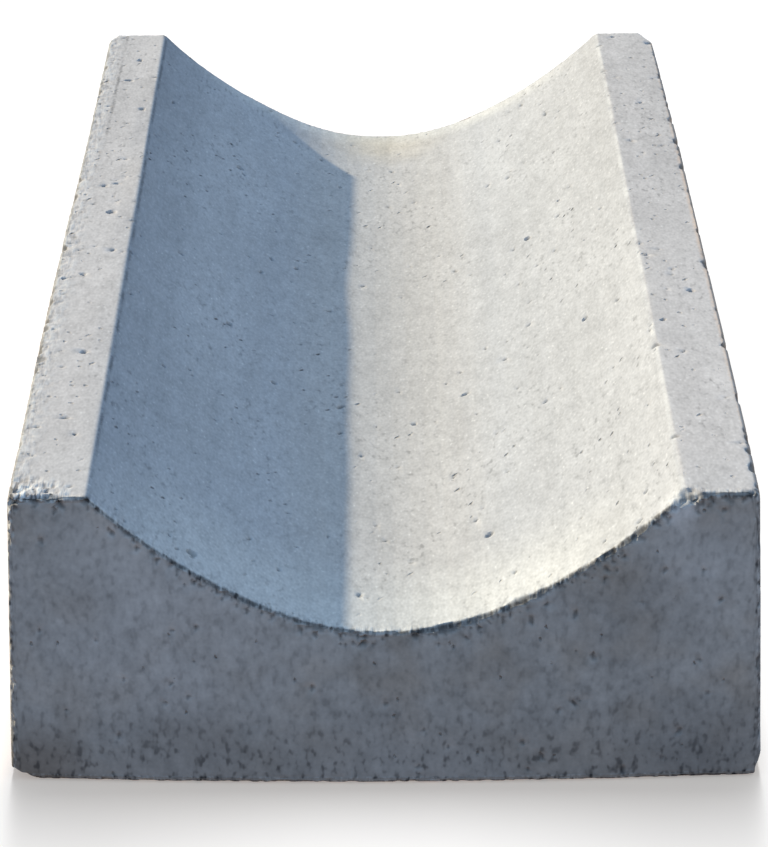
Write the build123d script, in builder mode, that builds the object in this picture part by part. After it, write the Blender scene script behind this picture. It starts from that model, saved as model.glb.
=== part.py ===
"""Concrete gutter stone: one cast block with a dished channel running along its top.

Millimetres, +Z up. The origin is at the middle of the underside, +Y runs along the channel and +X across it.
"""

import os

from build123d import *

# Driving dimensions of the block
length = 600.0
height = 130.0
top_width = 300.0
# The mould opens towards the underside, so the block is wider there than across its rims.
base_width = 312.0

# Driving dimensions of the channel
rim_width = 30.0
channel_depth = 60.0
# The channel is a three-centre curve: one tight arc along the bottom, and a flatter arc up each side.
bottom_radius = 115.0
bottom_half_angle = 24.0

# Edge radii left by the mould: crisp along the rims and lips, a little softer on the corners and the foot
corner_radius = 1.5
arris_radius = 1.0
base_arris_radius = 1.5

# Places worked out from the driving dimensions
lip_x = top_width / 2 - rim_width
channel_floor_z = height - channel_depth
bottom_arc_centre_z = channel_floor_z + bottom_radius
straight_down = 270

with BuildPart() as stone:
    # Half of the cross-section, from the middle of the channel round to the middle of the underside
    with BuildSketch(Plane.XZ):
        with BuildLine():
            bottom = CenterArc((0, bottom_arc_centre_z), bottom_radius, straight_down, bottom_half_angle)
            flank = TangentArc(bottom @ 1, (lip_x, height), tangent=bottom % 1)
            Polyline(flank @ 1, (top_width / 2, height), (base_width / 2, 0), (0, 0))
            mirror(about=Plane.YZ)
        make_face()
    extrude(amount=length / 2, both=True)

    # The upright corners, which lean with the sides
    end_faces = stone.faces().filter_by(Axis.Y)
    edges_across = [end.edges().sort_by(Axis.X) for end in end_faces]
    fillet([edge for edges in edges_across for edge in (edges[0], edges[-1])], corner_radius)

    # Every edge of the two rims, and the curved edges where the channel runs out at each end
    rim_edges = stone.faces().filter_by(Axis.Z).group_by(Axis.Z)[-1].edges()
    curves_by_end = stone.edges().filter_by(GeomType.CIRCLE).filter_by(Plane.XZ).group_by(Axis.Y)
    fillet(rim_edges + curves_by_end[0] + curves_by_end[-1], arris_radius)

    # The edge all round the underside
    fillet(stone.faces().sort_by(Axis.Z)[0].edges(), base_arris_radius)

stone.part.label = "gutter_stone"

os.makedirs("parts", exist_ok=True)
export_step(stone.part, "parts/gutter_stone.step")
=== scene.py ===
"""The looks of a weathered concrete gutter stone: its worn shape, its concrete, and a plain stage."""

import math

import bmesh
import bpy
import numpy as np
from mathutils import Matrix, Quaternion, Vector
from mathutils.bvhtree import BVHTree
from mathutils.kdtree import KDTree


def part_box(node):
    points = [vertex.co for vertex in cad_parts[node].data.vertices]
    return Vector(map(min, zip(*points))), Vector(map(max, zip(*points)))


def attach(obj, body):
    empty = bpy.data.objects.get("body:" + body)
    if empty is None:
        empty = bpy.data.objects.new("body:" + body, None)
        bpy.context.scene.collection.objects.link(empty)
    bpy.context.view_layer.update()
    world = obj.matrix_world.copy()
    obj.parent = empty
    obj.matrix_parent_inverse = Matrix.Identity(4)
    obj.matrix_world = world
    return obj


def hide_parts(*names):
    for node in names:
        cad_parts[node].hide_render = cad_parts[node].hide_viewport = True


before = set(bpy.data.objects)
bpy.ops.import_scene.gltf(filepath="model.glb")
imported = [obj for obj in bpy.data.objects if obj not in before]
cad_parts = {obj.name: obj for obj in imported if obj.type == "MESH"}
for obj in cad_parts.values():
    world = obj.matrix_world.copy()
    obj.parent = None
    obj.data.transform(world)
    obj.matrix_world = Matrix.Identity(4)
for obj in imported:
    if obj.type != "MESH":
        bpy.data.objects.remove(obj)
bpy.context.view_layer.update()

MM = 0.001
STONE = "gutter_stone"
LOWEST, HIGHEST = (np.array(corner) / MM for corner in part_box(STONE))
NEAR_Y, FAR_Y, TOP_Z = LOWEST[1], HIGHEST[1], HIGHEST[2]

# Where the rims' outer edges, the lips and the bottom of the channel lie, in millimetres
RIM_X = 150
LIP_X = 120
RIM_WIDTH = RIM_X - LIP_X
CHANNEL_Z = 70

# The stone's mesh has an even step while it is worn, and is then thinned where it is flat.
EVEN_STEP_MM = 1.0
TRIANGLE_BUDGET = 190_000
SHARP_ANGLE = math.radians(40)

# Places on the stone are found by looking at it from this far off in metres. The top edges of its ends
# are looked for this far in.
LOOK_FROM = 2
END_INSET_MM = 5

# Smooth lumps that the wear follows: the height of each layer, its size in millimetres and its seed
LUMPS_MM = {
    "edges": [(1.6, 45, 1), (0.8, 13, 2)],
    "faces": [(0.4, 130, 5), (0.1, 36, 6), (0.015, 9, 7)],
    "drag marks": [(0.08, 22, 10)],
    "left lip": [(0.5, 70, 16)],
    "broken": [(1, 4, 8), (0.7, 1.9, 9)],
    "crumbs": [(1, 2.6, 13), (0.6, 1.6, 14)],
    "pit rims": [(0.5, 1.7, 12)],
}

# Worn edges: how wide the wear is, how much of it has gone, and the least and most that the lumps make
# of that. A vertex is on an edge if smoothing moves it by more than this share of a step, and fully so
# at twice the share.
EDGE_REACH_MM = 5.0
EDGE_LOSS = 0.2
EDGE_LOSS_RANGE = (0.2, 3)
EDGE_STARTS = 0.2

# Uneven faces: how far up from the floor that fades in, how far to each side the left lip is wavy, and
# the squeeze that draws the drag marks out along the channel
FOOT_MM = 10.0
LIP_REACH_MM = 8
DRAG_SQUEEZE = (1, 0.05, 1)

# Kinds of face, by the upward part of the normal: where the open faces and the rims start and over how
# much of it they fade in, how much later that is on the edges at the stone's border, and how wide this
# border is
OPEN_STARTS = 0.5
OPEN_FADE = 0.15
OPEN_BORDER_DELAY = 0.4
RIM_STARTS = 0.9
RIM_FADE = 0.08
BORDER_MM = 6

# The arris along the top of each end, where painted shade is laid: its normal's part along the stone, how
# it fades to each side of that and from what fullness, and the upward part of the normal from which it is
# full
ARRIS_LEAN = 0.6
ARRIS_SPREAD = 0.3
ARRIS_FULLNESS = 1.4
ARRIS_RISE = 0.3

# Nicks along the edges: their number along each rim, lip, end and corner, how large they are on the
# lips, on each end and on the crisp part of the right rim, and their least and most depth and spread
NICK_SEED = 17
NICKS = {"rim": 70, "lip": 14, "end": 110, "corner": 9}
LIP_NICK_SHARE = 0.2
NEAR_NICK_SHARE = 1.3
FAR_NICK_SHARE = 0.3
CRISP_NICK_SHARE = 0.35
CRISP_FROM_X = LIP_X + 8
NICK_DEPTH_MM = (0.3, 1.3)
NICK_SPREAD_MM = (2.5, 7.0)
NICK_ROUGHNESS_MM = 0.4
NICK_TILT = 0.3
LIP_NICK_SLOPE = 0.4

# How far the rim of a break keeps clear of the faces around it, and the depth from which a break shows
# fully
CHIP_MARGIN_MM = 0.4
BREAK_SHOWS_MM = 0.5

# How far the mould's sides gave along the rims: most at the near end on the left, in the middle on the
# right. The near end bulges too, less by this share at its top, and over this share of the stone's
# length.
LEFT_BULGE_MM = 2.0
RIGHT_BULGE_MM = 1.4
END_BULGE_MM = 5.0
END_BULGE_FADE = 0.6
END_BULGE_RUN = 0.1

# Broken places: a point on the edge or corner, the way the broken face looks, its depth, spread and
# roughness
CHIPS_MM = {
    "far right corner": ((150, FAR_Y, TOP_Z), (0.90, 0.26, 0.35), 6.0, 42, 0.8),
    "far left corner": ((-150, FAR_Y, TOP_Z), (-0.90, 0.24, 0.36), 3.8, 30, 0.8),
    "near left corner": ((-149, NEAR_Y, TOP_Z), (-0.45, -0.55, 0.70), 2.2, 13, 1.8),
    "near left rim": ((-138, NEAR_Y, TOP_Z), (0.10, -0.80, 0.60), 1.2, 8, 1.6),
    "near right lip": ((123, NEAR_Y, TOP_Z), (-0.40, -0.55, 0.73), 2.6, 13, 0.8),
    "foot, left": ((-156, NEAR_Y, 0), (-0.37, -0.15, -0.92), 5.4, 60, 1.0),
    "foot, left, notch": ((-155.5, NEAR_Y, 10), (-0.60, -0.80, 0), 1.4, 6, 0.8),
    "foot, right": ((156, NEAR_Y, 0), (0.96, -0.12, -0.25), 3.6, 60, 0.4),
    "foot, right, under": ((156, NEAR_Y, 0), (0.72, -0.14, -0.68), 3.0, 60, 0.5),
    "left edge, low": ((-155, NEAR_Y, 29), (-0.72, -0.69, 0), 1.8, 9, 1.2),
    "left edge, higher": ((-154, NEAR_Y, 45), (-0.72, -0.69, 0), 1.4, 8, 1.0),
    "right rim, outer edge": ((150, 152, TOP_Z), (0.75, 0, 0.66), 1.8, 8, 1.4),
}

# Crumbled places, where the cement has gone from between the sand: the middle, the spread and the
# depth, then the mean and the most of that depth that is gone
CRUMBLED_MM = {
    "near left rim": ((-145, NEAR_Y, TOP_Z), 23, 1.3),
    "near left corner": ((-153, NEAR_Y, 118), 14, 0.9),
    "near right lip": ((122, NEAR_Y, TOP_Z), 10, 0.5),
    "left rim, outer edge": ((-152, 0, TOP_Z), (12, 1200, 9), 0.45),
    "edges of the near end": ((0, NEAR_Y, 100), (1200, 5, 1200), 0.5),
    "edges of the far end": ((0, FAR_Y, 100), (1200, 5, 1200), 0.15),
}
CRUMBS_MEAN = 0.2
CRUMBS_MOST = 1.2

# Air bubbles: the way each face is looked at, how many pits it has, and the way and how far they are
# drawn out
BUBBLE_SEED = 11
BUBBLES = {
    "top": ((0, 0, -1), 190, (0.6, 0.8, 0), 2.6),
    "near end": ((0, 1, 0), 60, (0, 0, 1), 2.2),
    "far end": ((0, -1, 0), 60, (0, 0, 1), 2.2),
    "left side": ((1, 0, 0), 150, (0, 0, 1), 2.0),
    "right side": ((-1, 0, 0), 150, (0, 0, 1), 2.0),
}
BUBBLE_RADIUS_MM = (0.6, 1.2)
BUBBLE_TILT = 0.5

# As shares of a pit's radius: how deep it is, and how far out its uneven rim may lie
BUBBLE_DEPTH = 0.9
BUBBLE_REACH = 1.3

# Bubbles also gather just below the top edge of each end: their number there, and how far down they
# start and go
EDGE_BUBBLES = 160
EDGE_BUBBLE_START_MM = 1
EDGE_BUBBLE_DROP_MM = 3.5

# The larger pits that stand out, by place on the stone's top, with their radius, and how far they are
# drawn out
LARGE_PITS_MM = [
    (-131, 22, 2.0), (-131, 62, 1.2), (-131, 255, 1.5), (-125, 175, 1.6), (-135, 221, 1.6),
    (-131, -152, 1.5), (140, -83, 1.6), (125, -118, 1.2), (148, 281, 1.8), (-79, -284, 2.2),
    (-73, -33, 1.8), (-75, 180, 1.8), (-51, -76, 1.6), (73, 77, 1.6), (94, -62, 1.6),
    (44, -232, 1.7), (14, -100, 1.3), (-138, -60, 1.3),
]
LARGE_PIT_STRETCH = 1.3

# Concrete as it dries: pale and warm on the trowelled rims, smooth in the channel, darker on the
# moulded faces. The rims are paler and warmer than the channel partly as painted light on these top faces.
RIM_COLOUR = "#CAC3BD"
CHANNEL_COLOUR = "#BBBAB9"
MOULDED_COLOUR = "#B6B3AD"
BROWN_COLOUR = "#AFA496"
DAMP_COLOUR = "#9A9792"
# Painted shade, laid on the channel under its left lip
LIP_SHADE_COLOUR = "#97999D"
# Pale wear on the rubbed edges, and painted light towards the channel's ends
PALE_WEAR_AND_LIGHT_COLOUR = "#DAD7CF"
BROKEN_COLOUR = "#B0A89D"
# Painted light, warmer and paler, laid along the bottom of the channel
BOTTOM_LIGHT_COLOUR = "#D1C4B2"
# Dirt, and painted shade in pits, nicks, on the edges, the end arrises, along the left lip and along the
# foot
DIRT_AND_SHADE_COLOUR = "#3B3A3A"
GRAIN_COLOUR = "#EFEDE6"

# How far up the damp has drawn from the foot, how far in from the left lip the painted shade under it
# reaches, and the height up to which the painted light along the channel's bottom goes
DAMP_HEIGHT_MM = 55
SHADE_UNDER_LIP_MM = 35
BOTTOM_LIGHT_HEIGHT_MM = 83

# How far in from its near and far end the channel is painted paler, as painted light, how far in it is
# fully so, and the heights between which that fades out
PALER_NEAR_MM = 75
PALER_FAR_MM = 22
PALER_FULL_MM = 2
PALER_HEIGHTS_MM = (88, 122)

# Patterns in the concrete: the size of their marks in millimetres along X, Y and Z, and their detail
PATTERNS_MM = {
    "clouds": ((150, 300, 150), 1),
    "blotches": ((42, 70, 42), 3),
    "tints": ((28, 50, 28), 2),
    "mottles": ((7, 14, 9), 2),
    "dabs": ((2.8, 5, 4.4), 1),
    "strokes": ((1.6, 7, 4), 1),
    "grit": ((2.4, 5, 2.4), 1),
    "sand": ((1.1, 2.2, 1.1), 0),
    "drag lines": ((13, 500, 40), 1),
}

# Marks that are picked from a pattern: which one, and where in it they start and are full
PICKED = {
    "clusters": ("blotches", 0.45, 0.62),
    "in places": ("mottles", 0.36, 0.58),
    "browner": ("tints", 0.45, 0.65),
    "dabs": ("dabs", 0.44, 0.27),
}

# How strongly each pattern lightens and darkens the concrete
OPEN_SHADES = {
    "clouds": 0.20, "blotches": 0.22, "mottles": 0.30, "grit": 0.30, "sand": 0.28, "drag lines": 0.18,
}
MOULDED_SHADES = {
    "clouds": 0.20, "blotches": 0.45, "mottles": 0.50, "dabs": 0.40, "grit": 0.22, "sand": 0.10,
}

# How strongly wear, weather, painted light and painted shade colour the concrete, above 1 where a pattern
# thins them out
STRENGTHS = {
    "brown patches": 0.6,
    "damp at the foot": 1.4,
    "painted shade under the lip": 0.5,
    "painted light on the bottom": 0.3,
    "painted light at the ends": 0.75,
    "rubbed edges": 0.3,
    "broken faces": 0.5,
    "dabs": 0.15,
    "dabs at the foot": 0.5,
    "dabs at the edges": 0.8,
    "painted shade on the arris": 0.5,
    "grime and painted shade on the edges": 0.3,
    "dirt and painted shade in pits": 0.55,
}

# Grains that show: where they do, the pattern they are picked from, where in it they start and are
# full, their colour and their strength
GRAINS = {
    "dark sand": ("clustered", "grit", 0.38, 0.24, DIRT_AND_SHADE_COLOUR, 0.28),
    "pale sand": ("open", "sand", 0.76, 0.90, GRAIN_COLOUR, 0.40),
    "bare dark sand": ("crumbled", "strokes", 0.47, 0.35, DIRT_AND_SHADE_COLOUR, 0.60),
    "bare pale sand": ("crumbled", "strokes", 0.51, 0.62, GRAIN_COLOUR, 0.75),
}

# Small pits, too fine for the mesh and darkened with dirt and painted shade, in clusters on the open faces
# and all
# over the moulded ones: the cell that each lies in, in millimetres, its turn about Z in degrees, the pit's
# radius as a share of it, its strength and its depth; then how much of the radius is the pit's floor
SMALL_PITS_MM = {
    "clustered": ((17, 7, 6), 55, 0.14, 0.85, 0.5),
    "moulded": ((8, 8, 13), 0, 0.09, 0.50, 0.5),
    "rim": ((7, 10, 6), 35, 0.15, 0.50, 0.3),
    "crumbled": ((4, 7, 5), 20, 0.24, 0.95, 0.3),
}
PIT_FLOOR = 0.3
PIT_RAGGEDNESS_MM = 1.6

# The relief of the grit, and of the bare sand in crumbled places
GRIT_RELIEF_MM = 0.02
BARE_RELIEF_MM = 0.8

# Matt cement, a little less so in blotches
ROUGHNESS = (0.84, 0.98)
SPECULAR = 0.25

# Stains, and one painted highlight: a place on the stone in millimetres, how far it spreads, its colour and
# its strength
STAINS_MM = {
    "ochre at the far end of the channel": ((0, FAR_Y - 14, 71), 42, "#D8C9AE", 0.5),
    "earth on the left foot": ((-144, NEAR_Y, 6), 30, "#7B6C5C", 0.6),
    "lime bloom on the near end": ((-92, NEAR_Y, 76), 100, "#C9C7C3", 0.75),
    "lime bloom, top right": ((130, NEAR_Y, 105), 50, "#C9C7C3", 0.35),
    # Painted highlight: a white patch under the right lip
    "painted highlight under the right lip": ((119, NEAR_Y, 122), 14, "#F0EEEA", 0.85),
    "damp patch, right": ((103, NEAR_Y, 73), 30, "#8B8883", 0.35),
    "damp patch, left": ((-77, NEAR_Y, 18), 40, "#83807C", 0.35),
    "damp on the right foot": ((128, NEAR_Y, 8), 48, "#7F7C78", 0.45),
    "drier foot, middle": ((2, NEAR_Y, 12), 55, "#BDBAB5", 0.30),
}
STAIN_RAGGEDNESS_MM = 26

# Fine lines, real marks and painted shade and light alike: their two ends in millimetres, their half-width,
# colour and strength, and whether they are broken
LINES_MM = {
    "hairline along the left rim": (
        (-141.5, 118, TOP_Z), (-140.5, 297, TOP_Z), 1.3, DIRT_AND_SHADE_COLOUR, 0.6, True),
    "rust along the far edge": (
        (26, FAR_Y, 73.5), (50, FAR_Y - 2, 81), 2.0, "#7A553F", 0.8, True),
    # Painted shadow: a dark line along the left lip
    "painted shadow along the left lip": (
        (-119, NEAR_Y, 129), (-119, FAR_Y, 129), 1.4, DIRT_AND_SHADE_COLOUR, 0.6, True),
    # Painted highlight: a pale line along the right lip
    "painted highlight on the right lip": (
        (120, NEAR_Y, 129.8), (120, FAR_Y, 129.8), 1.7, "#F3F0E8", 0.38, True),
    # Painted warm light: a warm colour on the shaded outer arris of the right rim
    "painted warm light along the right rim": (
        (151.3, NEAR_Y + 4, 128.3), (151.3, FAR_Y, 128.3), 3.5, "#E8BE98", 1, False),
    "earth along the left rim": (
        (-152, NEAR_Y + 4, 127), (-151, FAR_Y, 127), 4, "#8F877D", 0.8, True),
    # Painted shade: a dark line along the foot of the near end
    "painted shade along the foot": (
        (-156, NEAR_Y, 0), (156, NEAR_Y, 0), 2.6, DIRT_AND_SHADE_COLOUR, 0.8, True),
}

# Sockets of a colour Mix node
FACTOR, FIRST, SECOND, MIXED = 0, 6, 7, 2

# The camera, as the stone's corners in the photograph place it: its place in metres, its lens and
# sensor in millimetres, and in degrees how far it looks down, is turned aside and is rolled
CAMERA_PLACE = (-0.0040, -1.5630, 0.7295)
CAMERA_LENS = 148.28
CAMERA_SENSOR = 36
CAMERA_DOWN = 24.214
CAMERA_TURN = -0.159
CAMERA_ROLL = -0.224

# The stage in linear colours: a warm key from behind on the left, a cool fill from above, little from
# below, and over how much of the upward direction, to each side of the horizon, the fill changes
KEY_TRAVEL = (0.757, -0.497, -0.424)
KEY_COLOUR = (1.0, 0.875, 0.635)
KEY_STRENGTH = 4.65
KEY_ANGLE = math.radians(0.9)
FILL_ABOVE = (0.326, 0.482, 0.712, 1)
FILL_BELOW = (0.23, 0.17, 0.135, 1)
HORIZON = 0.06

# The floor is tinted against the blue of the fill, glows a little, and has a light of its own from above.
FLOOR_RADIUS = 14
FLOOR_GAP = 0.2 * MM
FLOOR_TINT = (0.95, 0.643, 0.435)
FLOOR_GLOW = 0.288
FLOOR_LIGHT_PLACE = (0, 6.1, 10)
FLOOR_LIGHT_SIZE = (1.6, 11.2)
FLOOR_LIGHT_COLOUR = (0.458, 0.677, 1.0)
FLOOR_LIGHT_POWER = 2100


def lumps(points, size, seed):
    """Smooth noise from -1 to 1 at each point, with lumps about that size in millimetres."""
    period = 64
    lattice = np.random.default_rng(seed).uniform(-1, 1, (period,) * 3)
    cell = np.floor(points / size).astype(int)
    step = points / size - cell
    step = step * step * (3 - 2 * step)
    total = np.zeros(len(points))
    for corner in np.ndindex(2, 2, 2):
        share = np.where(corner, step, 1 - step).prod(axis=1)
        total += share * lattice[tuple(((cell + corner) % period).T)]
    return total


def layered(points, what, mean=0):
    """The layers of lumps that one kind of wear has, about a mean."""
    return sum((height * lumps(points, size, seed) for height, size, seed in LUMPS_MM[what]), mean)


def fades_from(points, place, spread):
    """1 at a place in millimetres, and 0 from a spread away, which may differ along X, Y and Z."""
    away = (points - np.array(place, float)) / spread
    return np.clip(1 - (away**2).sum(axis=1), 0, 1)


def read_vertices(mesh, what):
    """The vertices' places ("co") or normals ("normal") as an array."""
    values = np.zeros(len(mesh.vertices) * 3, np.float32)
    mesh.vertices.foreach_get(what, values)
    return values.reshape(-1, 3).astype(float)


def tree_of(points):
    """A tree to find the points near a place with."""
    tree = KDTree(len(points))
    for number, point in enumerate(points):
        tree.insert(point, number)
    tree.balance()
    return tree


def within(tree, place, reach):
    """The numbers of the points that lie within reach of a place."""
    return [number for _, number, _ in tree.find_range(place, reach)]


def new_object(name, data):
    """An object in the scene, at the origin."""
    made = bpy.data.objects.new(name, data)
    bpy.context.scene.collection.objects.link(made)
    return made


def apply_modifier(piece, kind, **settings):
    """Gives the piece one modifier, keeps the mesh that it makes, and takes it off again."""
    modifier = piece.modifiers.new(kind.lower(), kind)
    for name, value in settings.items():
        setattr(modifier, name, value)
    ready = piece.evaluated_get(bpy.context.evaluated_depsgraph_get())
    mesh = bpy.data.meshes.new_from_object(ready)
    piece.modifiers.clear()
    piece.data = mesh


def as_cast_stone():
    """The stone as it left its mould, with an even mesh, and a tree of its faces to find places on."""
    form = bmesh.new()
    form.from_mesh(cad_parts[STONE].data)
    bmesh.ops.remove_doubles(form, verts=form.verts, dist=0.01 * MM)
    faces = BVHTree.FromBMesh(form)
    mesh = bpy.data.meshes.new("weathered_stone")
    form.to_mesh(mesh)
    form.free()
    stone = new_object("weathered_stone", mesh)
    apply_modifier(stone, "REMESH", mode="VOXEL", voxel_size=EVEN_STEP_MM * MM)
    return stone, faces


def find_on_stone(faces, place, looking):
    """Where a look past a place, in millimetres, first meets the stone, and the stone's normal there."""
    looking = Vector(looking)
    start = Vector(place) * MM - looking * LOOK_FROM
    hit, normal, _, _ = faces.ray_cast(start, looking)
    return hit, normal


def bubbles(faces):
    """Every air-bubble pit: its centre, normal, the way it is drawn out, its radius and its stretch."""
    draw = np.random.default_rng(BUBBLE_SEED)
    smallest, largest = BUBBLE_RADIUS_MM
    wanted = []
    for face, (looking, count, drawn_out, stretch) in BUBBLES.items():
        places = [draw.uniform(LOWEST, HIGHEST) for _ in range(count)]
        if face.endswith("end"):
            end_y = NEAR_Y + END_INSET_MM if looking[1] > 0 else FAR_Y - END_INSET_MM
            for x in draw.uniform(LOWEST[0], HIGHEST[0], EDGE_BUBBLES):
                edge, _ = find_on_stone(faces, (x, end_y, 0), BUBBLES["top"][0])
                if edge is not None:
                    drop = EDGE_BUBBLE_START_MM + abs(draw.normal(0, EDGE_BUBBLE_DROP_MM))
                    places.append((x, end_y, edge.z / MM - drop))
        for place in places:
            radius = smallest + draw.random() ** 2 * (largest - smallest)
            long = draw.uniform(1, stretch)
            wanted.append((place, looking, drawn_out, radius, long, draw.normal(0, BUBBLE_TILT)))
    looking, _, drawn_out, _ = BUBBLES["top"]
    for x, y, radius in LARGE_PITS_MM:
        tilt = draw.normal(0, BUBBLE_TILT)
        wanted.append(((x, y, 0), looking, drawn_out, radius, LARGE_PIT_STRETCH, tilt))

    made = []
    for place, looking, drawn_out, radius, long, tilt in wanted:
        hit, normal = find_on_stone(faces, place, looking)
        if hit is not None:
            flat = Vector(drawn_out) - normal * normal.dot(Vector(drawn_out))
            along = Quaternion(normal, tilt) @ flat.normalized()
            made.append((np.array(hit / MM), np.array(normal), np.array(along), radius, long))
    return made


def nicks(faces):
    """Small breaks along the stone's edges, each with what a broken place has."""
    draw = np.random.default_rng(NICK_SEED)
    edges = []
    for side in (-1, 1):
        for y in draw.uniform(NEAR_Y, FAR_Y, NICKS["rim"]):
            edges.append(((side * RIM_X, y, TOP_Z), (side, 0, 1), 1))
        for y in draw.uniform(NEAR_Y, FAR_Y, NICKS["lip"]):
            edges.append(((side * LIP_X, y, TOP_Z), (-side * LIP_NICK_SLOPE, 0, 1), LIP_NICK_SHARE))
    for end, out, share in ((NEAR_Y, -1, NEAR_NICK_SHARE), (FAR_Y, 1, FAR_NICK_SHARE)):
        for x in draw.uniform(-RIM_X, RIM_X, NICKS["end"]):
            edge, normal = find_on_stone(faces, (x, end - END_INSET_MM * out, 0), (0, 0, -1))
            size = min(share, CRISP_NICK_SHARE) if x > CRISP_FROM_X else share
            edges.append(((x, end, edge.z / MM), (normal.x, out, normal.z), size))
        for side in (-1, 1):
            for z in draw.uniform(2 * FOOT_MM, TOP_Z, NICKS["corner"]):
                x = side * np.interp(z, (0, TOP_Z), (HIGHEST[0], RIM_X))
                edges.append(((x, end, z), (side, out, 0), 1))

    made = []
    for place, looks, share in edges:
        bite = draw.random() ** 2
        depth = np.interp(bite, (0, 1), NICK_DEPTH_MM) * share
        spread = np.interp(bite, (0, 1), NICK_SPREAD_MM) * (0.5 + share / 2)
        looks = looks + draw.normal(0, NICK_TILT, 3)
        made.append((place, looks, depth, spread, NICK_ROUGHNESS_MM * share))
    return made


def round_edges(stone, even):
    """How far each vertex goes in where the edges are worn round unevenly, and its share of an edge."""
    passes = round((EDGE_REACH_MM / EVEN_STEP_MM) ** 2)
    apply_modifier(stone, "SMOOTH", factor=0.5, iterations=passes)
    loss = read_vertices(stone.data, "co") / MM - even
    amount = np.linalg.norm(loss, axis=1)
    edge = np.clip((amount / EVEN_STEP_MM - EDGE_STARTS) / EDGE_STARTS, 0, 1)
    unevenly = EDGE_LOSS * np.clip(layered(even, "edges", mean=1), *EDGE_LOSS_RANGE)
    return loss * unevenly[:, None], edge


def unevenness(even):
    """How far each vertex lies off its flat face, apart from the underside that the stone lies on."""
    bedded = np.clip(even[:, 2] / FOOT_MM, 0, 1)
    uneven = layered(even, "faces") + layered(even * DRAG_SQUEEZE, "drag marks")
    by_left_lip = np.clip(1 - np.abs(even[:, 0] + LIP_X) / LIP_REACH_MM, 0, 1)
    uneven += layered(even, "left lip") * by_left_lip
    return uneven * bedded


def kinds_of_face(even, outward, edge):
    """Each vertex's share of the open faces, of the rims, and of the arris along the top of each end."""
    upward = outward[:, 2]
    border = (np.abs(even[:, 0]) > RIM_X - BORDER_MM) | (np.abs(even[:, 1]) > FAR_Y - BORDER_MM)
    delay = OPEN_BORDER_DELAY * edge * border
    open_face = np.clip((upward - OPEN_STARTS - delay) / OPEN_FADE, 0, 1)
    rim = np.clip((upward - RIM_STARTS) / RIM_FADE, 0, 1) * (even[:, 2] > TOP_Z - BORDER_MM)
    off_lean = np.abs(np.abs(outward[:, 1]) - ARRIS_LEAN) / ARRIS_SPREAD
    end_arris = edge * np.clip(ARRIS_FULLNESS - off_lean, 0, 1)
    end_arris *= np.clip(upward / ARRIS_RISE, 0, 1)
    return open_face, rim, end_arris


def break_edges(even, worn, tree, faces):
    """Breaks the chips and nicks out, and returns each vertex's share of a chip and of a nick."""
    chipped = np.zeros(len(even))
    nicked = np.zeros(len(even))
    rough = layered(even, "broken")
    breaks = [(*chip, chipped) for chip in CHIPS_MM.values()] + [(*nick, nicked) for nick in nicks(faces)]
    for place, looks, depth, spread, roughness, mark in breaks:
        near = within(tree, place, spread)
        looks = np.array(looks) / np.linalg.norm(looks)
        bite = depth + CHIP_MARGIN_MM + roughness * rough[near]
        cut = (worn[near] - np.array(place, float)) @ looks + bite * fades_from(even[near], place, spread)
        cut = np.maximum(cut - CHIP_MARGIN_MM, 0)
        worn[near] -= np.outer(cut, looks)
        mark[near] = np.maximum(mark[near], np.clip(cut / BREAK_SHOWS_MM, 0, 1))
    return chipped, nicked


def crumble(even, worn, outward, weak):
    """Crumbles the weak places, and returns how far each vertex has crumbled."""
    crumbled = np.zeros(len(even))
    crumbs = np.clip(layered(even, "crumbs", CRUMBS_MEAN), 0, CRUMBS_MOST)
    for place, spread, depth in CRUMBLED_MM.values():
        gone = depth * fades_from(even, place, spread) * weak
        worn -= outward * (gone * crumbs)[:, None]
        crumbled = np.maximum(crumbled, gone)
    return crumbled


def open_pits(even, worn, tree, faces, pit):
    """Opens the air-bubble pits, with uneven rims, and adds them to each vertex's share of a pit."""
    for centre, normal, drawn_out, radius, long in bubbles(faces):
        near = within(tree, centre, radius * long * BUBBLE_REACH)
        if not near:
            continue
        away = even[near] - centre
        along = away @ drawn_out
        across = (away**2).sum(axis=1) - along**2
        ragged_rim = layered(even[near], "pit rims")
        hollow = np.clip(1 - (along / long) ** 2 / radius**2 - across / radius**2 + ragged_rim, 0, 1)
        pit[near] = np.maximum(pit[near], np.sqrt(hollow))
        worn[near] -= np.outer(np.sqrt(hollow) * radius * BUBBLE_DEPTH, normal)


def bulge(even, worn):
    """Moves the rims and the near end out where the mould gave."""
    across, run, up = even.T
    run = (run - NEAR_Y) / (FAR_Y - NEAR_Y)
    left = -LEFT_BULGE_MM * (1 - run**2)
    right = RIGHT_BULGE_MM * (1 - (2 * run - 1) ** 2)
    from_lip = np.clip(np.abs(across) / RIM_WIDTH - LIP_X / RIM_WIDTH, 0, 1)
    worn[:, 0] += np.where(across < 0, left, right) * from_lip * up / TOP_Z
    bowed = (1 - (across / HIGHEST[0]) ** 2) * (1 - END_BULGE_FADE * up / TOP_Z)
    worn[:, 1] -= END_BULGE_MM * bowed * np.clip(1 - run / END_BULGE_RUN, 0, 1) ** 2


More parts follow.
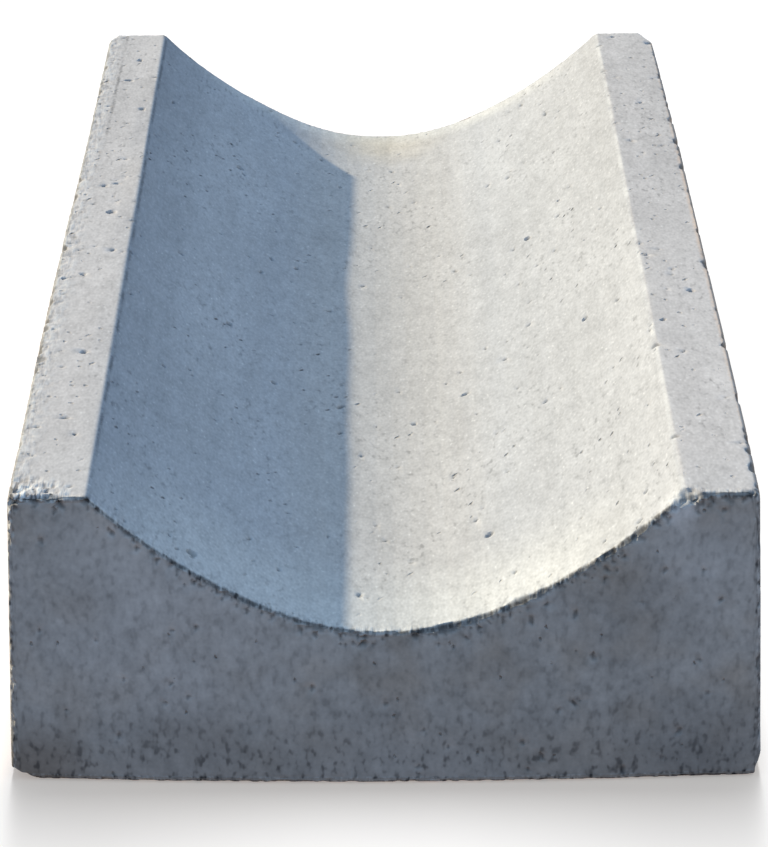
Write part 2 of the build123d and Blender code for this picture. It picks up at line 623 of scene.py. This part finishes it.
def wear(stone, faces):
    """Each vertex of the even mesh as it is once worn, and its share of each kind of face and of wear."""
    even = read_vertices(stone.data, "co") / MM
    outward = read_vertices(stone.data, "normal")
    loss, edge = round_edges(stone, even)
    worn = even + loss
    worn += outward * unevenness(even)[:, None]
    open_face, rim, end_arris = kinds_of_face(even, outward, edge)

    # Nicks get dirt and painted shade as pits do, so both are kept as one.
    tree = tree_of(even)
    broken, pit = break_edges(even, worn, tree, faces)
    crumbled = crumble(even, worn, outward, weak=np.maximum(open_face, edge))
    open_pits(even, worn, tree, faces, pit)
    bulge(even, worn)
    worn[:, 2] = np.maximum(worn[:, 2], 0)

    marks = {"open": open_face, "rim": rim, "edge": edge, "end_arris": end_arris}
    marks |= {"pit": pit, "broken": broken, "crumbled": crumbled}
    return worn, marks


def weathered_stone():
    """The stone as it is now, with its wear kept as attributes for the concrete to read."""
    stone, faces = as_cast_stone()
    worn, marks = wear(stone, faces)
    stone.data.vertices.foreach_set("co", (worn * MM).ravel().astype(np.float32))
    stone.data.update()
    stone.data.calc_loop_triangles()
    apply_modifier(stone, "DECIMATE", ratio=min(1, TRIANGLE_BUDGET / len(stone.data.loop_triangles)))

    kept = read_vertices(stone.data, "co") / MM
    tree = tree_of(worn)
    nearest = [tree.find(place)[1] for place in kept]
    for name, values in marks.items():
        attribute = stone.data.attributes.new(name, "FLOAT", "POINT")
        attribute.data.foreach_set("value", values[nearest].astype(np.float32))
    stone.data.shade_smooth()
    stone.data.set_sharp_from_angle(angle=SHARP_ANGLE)
    return stone


def linear(hex_colour):
    """An sRGB hex colour as linear red, green, blue and alpha."""
    parts = [int(hex_colour[place:place + 2], 16) / 255 for place in (1, 3, 5)]
    return [part / 12.92 if part <= 0.04045 else ((part + 0.055) / 1.055) ** 2.4 for part in parts] + [1]


def add(tree, kind, inputs=None, take=0, **settings):
    """Adds a node and returns one of its outputs; each input is a value, or a socket to link from."""
    node = tree.nodes.new(kind)
    for name, value in settings.items():
        setattr(node, name, value)
    for name, value in (inputs or {}).items():
        if isinstance(value, bpy.types.NodeSocket):
            tree.links.new(value, node.inputs[name])
        else:
            node.inputs[name].default_value = value
    return node.outputs[take]


def lay(tree, below, above, amount, *shares):
    """Lays one colour over another, by an amount from 0 to 1 that each further share is multiplied into."""
    for share in shares:
        amount = add(tree, "ShaderNodeMath", {0: amount, 1: share}, operation="MULTIPLY")
    colours = {FACTOR: amount, FIRST: below, SECOND: above}
    return add(tree, "ShaderNodeMix", colours, MIXED, data_type="RGBA")


def shaded(tree, colour, patterns, amounts):
    """A colour made lighter and darker by several patterns."""
    light = 1 - sum(amounts.values()) / 2
    for name, amount in amounts.items():
        terms = {0: patterns[name], 1: amount, 2: light}
        light = add(tree, "ShaderNodeMath", terms, operation="MULTIPLY_ADD")
    return add(tree, "ShaderNodeVectorMath", {0: colour, "Scale": light}, operation="SCALE")


def ragged(tree, places, size):
    """Places shifted to and fro by noise, so that what is drawn there gets an uneven outline."""
    noise = {"Vector": places, "Scale": 1 / (size * MM), "Detail": 1}
    shift = add(tree, "ShaderNodeTexNoise", noise, take="Color")
    centred = add(tree, "ShaderNodeVectorMath", {0: shift, 1: [0.5] * 3}, operation="SUBTRACT")
    moved = {0: centred, 1: [size * MM] * 3, 2: places}
    return add(tree, "ShaderNodeVectorMath", moved, operation="MULTIPLY_ADD")


def away_from_line(tree, places, start, end):
    """How far places are from the straight line between two points in millimetres."""
    start, end = Vector(start) * MM, Vector(end) * MM
    run = end - start
    from_start = add(tree, "ShaderNodeVectorMath", {0: places, 1: start}, operation="SUBTRACT")
    terms = {0: from_start, 1: run / run.length_squared}
    share = add(tree, "ShaderNodeVectorMath", terms, "Value", operation="DOT_PRODUCT")
    share = add(tree, "ShaderNodeClamp", {"Value": share})
    nearest = add(tree, "ShaderNodeVectorMath", {0: run, "Scale": share}, operation="SCALE")
    return add(tree, "ShaderNodeVectorMath", {0: from_start, 1: nearest}, "Value", operation="DISTANCE")


def cast_concrete():
    """Concrete cast in a mould: matt grey cement with sand showing, cloudy, pitted, pale where rubbed, with
    painted light and painted shade laid on in places.
    """
    material = bpy.data.materials.new("weathered_cast_concrete")
    material.use_nodes = True
    tree = material.node_tree
    places = add(tree, "ShaderNodeTexCoord", take="Object")
    across, along, height = (add(tree, "ShaderNodeSeparateXYZ", {0: places}, take=axis) for axis in "XYZ")
    worn = {name: add(tree, "ShaderNodeAttribute", take="Fac", attribute_name=name)
            for name in ("open", "rim", "edge", "end_arris", "pit", "broken", "crumbled")}
    worn["moulded"] = add(tree, "ShaderNodeMath", {0: 1, 1: worn["open"]}, operation="SUBTRACT")

    # Noise drawn out to the size of each pattern's marks, and what is picked from it
    patterns = {}
    for name, (size, detail) in PATTERNS_MM.items():
        scale = [1 / (side * MM) for side in size]
        scaled = add(tree, "ShaderNodeVectorMath", {0: places, 1: scale}, operation="MULTIPLY")
        noise = {"Vector": scaled, "Scale": 1, "Detail": detail}
        patterns[name] = add(tree, "ShaderNodeTexNoise", noise, take="Fac")
    picked = {}
    for name, (pattern, starts, full) in PICKED.items():
        limits = {"Value": patterns[pattern], "From Min": starts, "From Max": full}
        picked[name] = add(tree, "ShaderNodeMapRange", limits)
    clustered = {0: picked["clusters"], 1: worn["open"]}
    worn["clustered"] = add(tree, "ShaderNodeMath", clustered, operation="MULTIPLY")

    # The moulded ends and sides: browner in patches, with damp drawn up from the foot
    rises = {"Value": height, "From Min": DAMP_HEIGHT_MM * MM, "From Max": 0}
    foot = add(tree, "ShaderNodeMapRange", rises, interpolation_type="SMOOTHSTEP")
    brown = linear(BROWN_COLOUR)
    moulded = lay(tree, linear(MOULDED_COLOUR), brown, picked["browner"], STRENGTHS["brown patches"])
    damp = linear(DAMP_COLOUR)
    moulded = lay(tree, moulded, damp, foot, patterns["blotches"], STRENGTHS["damp at the foot"])

    # The open faces: the channel, with painted light along its bottom, painted shade under its left lip and
    # painted light towards its ends, and the rims beside it
    # Painted light, warmer and paler, along the channel's bottom
    low = {"Value": height, "From Min": BOTTOM_LIGHT_HEIGHT_MM * MM, "From Max": CHANNEL_Z * MM}
    lit_bottom = add(tree, "ShaderNodeMapRange", low, interpolation_type="SMOOTHSTEP")
    channel = lay(tree, linear(CHANNEL_COLOUR), linear(BOTTOM_LIGHT_COLOUR), lit_bottom, STRENGTHS["painted light on the bottom"])
    # Painted shade on the channel just under its left lip
    lip_band = {"Value": across, "From Min": (SHADE_UNDER_LIP_MM - LIP_X) * MM, "From Max": -LIP_X * MM}
    under_lip = add(tree, "ShaderNodeMapRange", lip_band)
    channel = lay(tree, channel, linear(LIP_SHADE_COLOUR), under_lip, STRENGTHS["painted shade under the lip"])
    # Painted light: the channel is paler towards its ends, below the lips
    paler_up_to, paler_none_from = PALER_HEIGHTS_MM
    below = {"Value": height, "From Min": paler_none_from * MM, "From Max": paler_up_to * MM}
    below_lips = add(tree, "ShaderNodeMapRange", below)
    near_end = (NEAR_Y + PALER_NEAR_MM, NEAR_Y + PALER_FULL_MM)
    far_end = (FAR_Y - PALER_FAR_MM, FAR_Y - PALER_FULL_MM)
    for starts, full in (near_end, far_end):
        outwards = {"Value": along, "From Min": starts * MM, "From Max": full * MM}
        at_end = add(tree, "ShaderNodeMapRange", outwards, interpolation_type="SMOOTHSTEP")
        channel = lay(tree, channel, linear(PALE_WEAR_AND_LIGHT_COLOUR), at_end, below_lips, STRENGTHS["painted light at the ends"])
    open_faces = lay(tree, channel, linear(RIM_COLOUR), worn["rim"])
    colour = lay(tree, moulded, open_faces, worn["open"])

    # Stains, and the painted highlight under the right lip, spread from their places with a ragged outline
    around = ragged(tree, places, STAIN_RAGGEDNESS_MM)
    for place, spread, stain, strength in STAINS_MM.values():
        centre = [side * MM for side in place]
        away = add(tree, "ShaderNodeVectorMath", {0: around, 1: centre}, "Value", operation="DISTANCE")
        fades = {"Value": away, "From Min": spread * MM, "From Max": 0, "To Max": strength}
        amount = add(tree, "ShaderNodeMapRange", fades, interpolation_type="SMOOTHSTEP")
        colour = lay(tree, colour, linear(stain), amount)
    moulded = shaded(tree, colour, patterns, MOULDED_SHADES)
    open_faces = shaded(tree, colour, patterns, OPEN_SHADES)

    # Dark dabs where the mould has dragged, most of all at the foot and under the edges, painted shade on
    # the arris along the top of each end, and grime and painted shade on the edges
    # Dirt, which is also laid as painted shade on the arris, the edges, the pits and the nicks
    dirt = linear(DIRT_AND_SHADE_COLOUR)
    at_foot = add(tree, "ShaderNodeMath", {0: foot, 1: 2}, operation="POWER")
    terms = {0: at_foot, 1: STRENGTHS["dabs at the foot"], 2: STRENGTHS["dabs"]}
    where = add(tree, "ShaderNodeMath", terms, operation="MULTIPLY_ADD")
    terms = {0: worn["edge"], 1: STRENGTHS["dabs at the edges"], 2: where}
    where = add(tree, "ShaderNodeMath", terms, operation="MULTIPLY_ADD")
    moulded = lay(tree, moulded, dirt, picked["dabs"], where)
    # Painted shade on the arris along the top of each end
    moulded = lay(tree, moulded, dirt, worn["end_arris"], STRENGTHS["painted shade on the arris"])
    # Grime, and painted shade, on the moulded side of the edges
    moulded = lay(tree, moulded, dirt, worn["edge"], picked["in places"], STRENGTHS["grime and painted shade on the edges"])

    # Rubbed edges are paler in places, and broken faces show the browner inside
    rubbed = linear(PALE_WEAR_AND_LIGHT_COLOUR)
    open_faces = lay(tree, open_faces, rubbed, picked["in places"], worn["edge"], STRENGTHS["rubbed edges"])
    colour = lay(tree, moulded, open_faces, worn["open"])
    colour = lay(tree, colour, linear(BROKEN_COLOUR), worn["broken"], STRENGTHS["broken faces"])

    # Grains of sand that show at the surface
    for faces, pattern, starts, full, shows, strength in GRAINS.values():
        limits = {"Value": patterns[pattern], "From Min": starts, "From Max": full, "To Max": strength}
        colour = lay(tree, colour, linear(shows), add(tree, "ShaderNodeMapRange", limits), worn[faces])

    # Small pits, each at a point of a random scatter, darkened with dirt and painted shade, and the relief
    # that they and the sand give
    relief = add(tree, "ShaderNodeMath", {0: patterns["grit"], 1: GRIT_RELIEF_MM}, operation="MULTIPLY")
    bare = add(tree, "ShaderNodeMath", {0: patterns["strokes"], 1: worn["crumbled"]}, operation="MULTIPLY")
    relief = add(tree, "ShaderNodeMath", {0: bare, 1: BARE_RELIEF_MM, 2: relief}, operation="MULTIPLY_ADD")
    around = ragged(tree, places, PIT_RAGGEDNESS_MM)
    for faces, (cell, turn, radius, strength, depth) in SMALL_PITS_MM.items():
        rotation = (0, 0, math.radians(turn))
        turned = {"Vector": around, "Rotation": rotation, "Scale": [side * MM for side in cell]}
        cells = add(tree, "ShaderNodeMapping", turned, vector_type="TEXTURE")
        away = add(tree, "ShaderNodeTexVoronoi", {"Vector": cells, "Scale": 1}, take="Distance")
        limits = {"Value": away, "From Min": radius, "From Max": PIT_FLOOR * radius}
        hollow = add(tree, "ShaderNodeMapRange", limits)
        hollow = add(tree, "ShaderNodeMath", {0: hollow, 1: worn[faces]}, operation="MULTIPLY")
        colour = lay(tree, colour, dirt, hollow, strength)
        relief = add(tree, "ShaderNodeMath", {0: hollow, 1: -depth, 2: relief}, operation="MULTIPLY_ADD")

    # Fine lines, some of them painted shade and light, and dirt and painted shade in the air-bubble pits
    # and the nicks
    for start, end, half_width, shows, strength, broken in LINES_MM.values():
        away = away_from_line(tree, around, start, end)
        fades = {"Value": away, "From Min": half_width * MM, "From Max": 0, "To Max": strength}
        amount = add(tree, "ShaderNodeMapRange", fades)
        colour = lay(tree, colour, linear(shows), amount, picked["in places"] if broken else 1)
    # Dirt and painted shade in the pits and nicks
    colour = lay(tree, colour, dirt, worn["pit"], STRENGTHS["dirt and painted shade in pits"])

    smoother, rougher = ROUGHNESS
    blotchy = {"Value": patterns["blotches"], "To Min": smoother, "To Max": rougher}
    shader = tree.nodes["Principled BSDF"]
    shader.inputs["Specular IOR Level"].default_value = SPECULAR
    tree.links.new(colour, shader.inputs["Base Color"])
    tree.links.new(add(tree, "ShaderNodeMapRange", blotchy), shader.inputs["Roughness"])
    tree.links.new(add(tree, "ShaderNodeBump", {"Distance": MM, "Height": relief}), shader.inputs["Normal"])
    return material


def pale_floor():
    """The plain floor, which the stone's own light doesn't reach."""
    form = bmesh.new()
    bmesh.ops.create_circle(form, cap_ends=True, segments=128, radius=FLOOR_RADIUS)
    bmesh.ops.translate(form, verts=form.verts, vec=(0, 0, -FLOOR_GAP))
    floor = new_object("floor", bpy.data.meshes.new("floor"))
    form.to_mesh(floor.data)
    form.free()
    material = bpy.data.materials.new("pale_floor_paint")
    material.use_nodes = True
    shader = material.node_tree.nodes["Principled BSDF"]
    shader.inputs["Base Color"].default_value = (*FLOOR_TINT, 1)
    shader.inputs["Roughness"].default_value = 1
    shader.inputs["Specular IOR Level"].default_value = 0
    shader.inputs["Emission Color"].default_value = (1, 1, 1, 1)
    shader.inputs["Emission Strength"].default_value = FLOOR_GLOW
    floor.data.materials.append(material)
    floor.visible_diffuse = False
    floor.visible_glossy = False
    return floor


def place_light(name, kind, lit, **settings):
    """A light that lights one piece only."""
    light = new_object(name, bpy.data.lights.new(name, kind))
    for setting, value in settings.items():
        setattr(light.data, setting, value)
    group = bpy.data.collections.new(f"lit_by_{name}")
    group.objects.link(lit)
    light.light_linking.receiver_collection = group
    return light


def soft_fill():
    """Soft light from all round, cool from above as under a clear sky."""
    world = bpy.data.worlds.new("fill")
    world.use_nodes = True
    tree = world.node_tree
    direction = add(tree, "ShaderNodeTexCoord", take="Generated")
    upward = add(tree, "ShaderNodeSeparateXYZ", {0: direction}, take="Z")
    above = add(tree, "ShaderNodeMapRange", {"Value": upward, "From Min": -HORIZON, "From Max": HORIZON})
    tree.links.new(lay(tree, FILL_BELOW, FILL_ABOVE, above), tree.nodes["Background"].inputs["Color"])
    return world


stone = weathered_stone()
stone.data.materials.clear()
stone.data.materials.append(cast_concrete())
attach(stone, "root")
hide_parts(STONE)

floor = pale_floor()

camera = new_object("camera", bpy.data.cameras.new("camera"))
camera.data.sensor_width = CAMERA_SENSOR
camera.data.lens = CAMERA_LENS
camera.matrix_world = (
    Matrix.Translation(CAMERA_PLACE)
    @ Matrix.Rotation(math.radians(CAMERA_TURN), 4, "Z")
    @ Matrix.Rotation(math.radians(90 - CAMERA_DOWN), 4, "X")
    @ Matrix.Rotation(math.radians(CAMERA_ROLL), 4, "Z")
)
bpy.context.scene.camera = camera

key = place_light("key", "SUN", stone, color=KEY_COLOUR, energy=KEY_STRENGTH, angle=KEY_ANGLE)
key.rotation_mode = "QUATERNION"
key.rotation_quaternion = Vector(KEY_TRAVEL).to_track_quat("-Z", "Y")
width, depth = FLOOR_LIGHT_SIZE
overhead = place_light("overhead", "AREA", floor, color=FLOOR_LIGHT_COLOUR, energy=FLOOR_LIGHT_POWER,
                       shape="RECTANGLE", size=width, size_y=depth)
overhead.location = FLOOR_LIGHT_PLACE
bpy.context.scene.world = soft_fill()
bpy.context.scene.view_settings.view_transform = "Standard"
